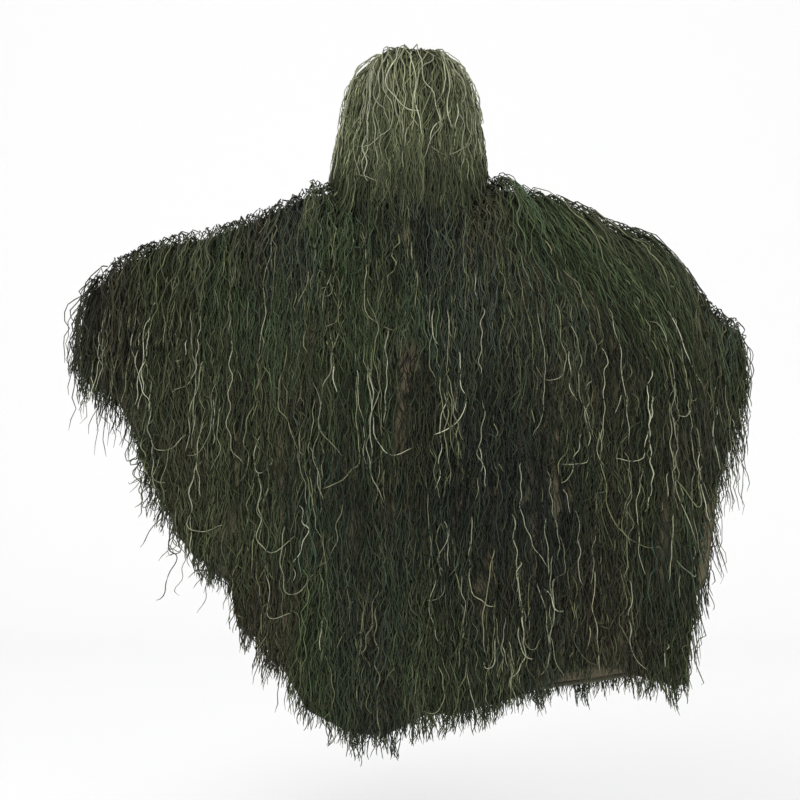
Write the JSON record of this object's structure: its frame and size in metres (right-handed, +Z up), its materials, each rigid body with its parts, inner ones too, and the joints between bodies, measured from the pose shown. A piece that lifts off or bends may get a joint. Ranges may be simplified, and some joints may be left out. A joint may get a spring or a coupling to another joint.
{
  "type": "ghillie suit",
  "caption": "Hooded camouflage cape of olive cloth with sewn rows of hanging yarn, a face veil, a chest slit with press studs and elastic wrist loops, shaped as worn with the arms out.",
  "frame": {"origin": "centre of the neck opening, level with the wearer's shoulders, where the cape hangs", "axes": "+Z up; the front faces -Y; the wearer's right hand is at -X"},
  "size_m": [1.318, 0.291, 1.389],
  "materials": {
    "olive_cloth": "plain woven polyester, matt",
    "olive_tape": "woven tape, matt",
    "cape_yarn": "soft spun yarn in mixed greens and browns",
    "hood_yarn": "soft spun yarn in lighter olive and straw",
    "elastic_webbing": "ribbed elastic webbing",
    "stud_metal": "dark bronze lacquer, satin",
    "eyelet_metal": "black lacquer, satin"
  },
  "bodies": {
    "cape": {"arm_seam_tape_left_arm": "olive_tape", "arm_seam_tape_right_arm": "olive_tape", "back_fringe_1": "cape_yarn", "back_fringe_2": "cape_yarn", "back_fringe_3": "cape_yarn", "back_fringe_4": "cape_yarn", "back_fringe_5": "cape_yarn", "back_fringe_6": "cape_yarn", "back_panel_left_arm": "olive_cloth", "back_panel_right_arm": "olive_cloth", "front_fringe_1_left_arm": "cape_yarn", "front_fringe_1_right_arm": "cape_yarn", "front_fringe_2_left_arm": "cape_yarn", "front_fringe_2_right_arm": "cape_yarn", "front_fringe_3": "cape_yarn", "front_fringe_4": "cape_yarn", "front_fringe_5": "cape_yarn", "front_fringe_6": "cape_yarn", "front_panel_left_arm": "olive_cloth", "front_panel_right_arm": "olive_cloth", "hem_binding_back_left_arm": "olive_tape", "hem_binding_back_right_arm": "olive_tape", "hem_binding_front_left_arm": "olive_tape", "hem_binding_front_right_arm": "olive_tape", "neck_binding": "olive_tape", "placket_under": "olive_cloth", "press_posts": "stud_metal", "press_studs": "stud_metal", "wrist_tab_left_arm": "olive_tape", "wrist_tab_right_arm": "olive_tape"},
    "hood": {"draw_channel_left_side": "olive_tape", "draw_channel_right_side": "olive_tape", "draw_eyelet_washers": "eyelet_metal", "draw_eyelets": "eyelet_metal", "hood_fringe_crown_left_side": "hood_yarn", "hood_fringe_crown_right_side": "hood_yarn", "hood_fringe_low_left_side": "hood_yarn", "hood_fringe_low_right_side": "hood_yarn", "hood_fringe_middle_left_side": "hood_yarn", "hood_fringe_middle_right_side": "hood_yarn", "hood_panel_left_side": "olive_cloth", "hood_panel_right_side": "olive_cloth"},
    "hanging_loop": {"hanging_loop": "olive_tape"},
    "chest_flap": {"placket_flap": "olive_cloth", "placket_fringe": "cape_yarn", "press_caps": "stud_metal", "press_sockets": "stud_metal"},
    "face_veil": {"veil_fringe": "hood_yarn", "veil_header": "olive_tape"},
    "wrist_loop_left_arm": {"wrist_loop_left_arm": "elastic_webbing"},
    "wrist_loop_right_arm": {"wrist_loop_right_arm": "elastic_webbing"}
  },
  "joints": [
    {"name": "hood_fold", "type": "hinge", "parent": "cape", "child": "hood", "pos_m": [0, 0.133, 0.03], "axis": [1, 0, 0], "range_deg": [-110, 0]},
    {"name": "veil_lift", "type": "hinge", "parent": "hood", "child": "face_veil", "pos_m": [0.008, -0.112, 0.222], "axis": [1, 0, 0], "range_deg": [-100, 0]},
    {"name": "chest_flap_open", "type": "hinge", "parent": "cape", "child": "chest_flap", "pos_m": [-0.022, -0.142, -0.16], "axis": [0, 0, 1], "range_deg": [-100, 0]},
    {"name": "right_wrist_loop_swing", "type": "hinge", "parent": "cape", "child": "wrist_loop_right_arm", "pos_m": [-0.618, -0.04048, -0.20956], "axis": [0, 1, 0], "range_deg": [-20, 20]},
    {"name": "left_wrist_loop_swing", "type": "hinge", "parent": "cape", "child": "wrist_loop_left_arm", "pos_m": [0.628, -0.04128, -0.2858], "axis": [0, 1, 0], "range_deg": [-20, 20]},
    {"name": "hanging_loop_lift", "type": "hinge", "parent": "cape", "child": "hanging_loop", "pos_m": [0, 0.1102, 0.0112], "axis": [1, 0, 0], "range_deg": [-150, 0]}
  ]
}
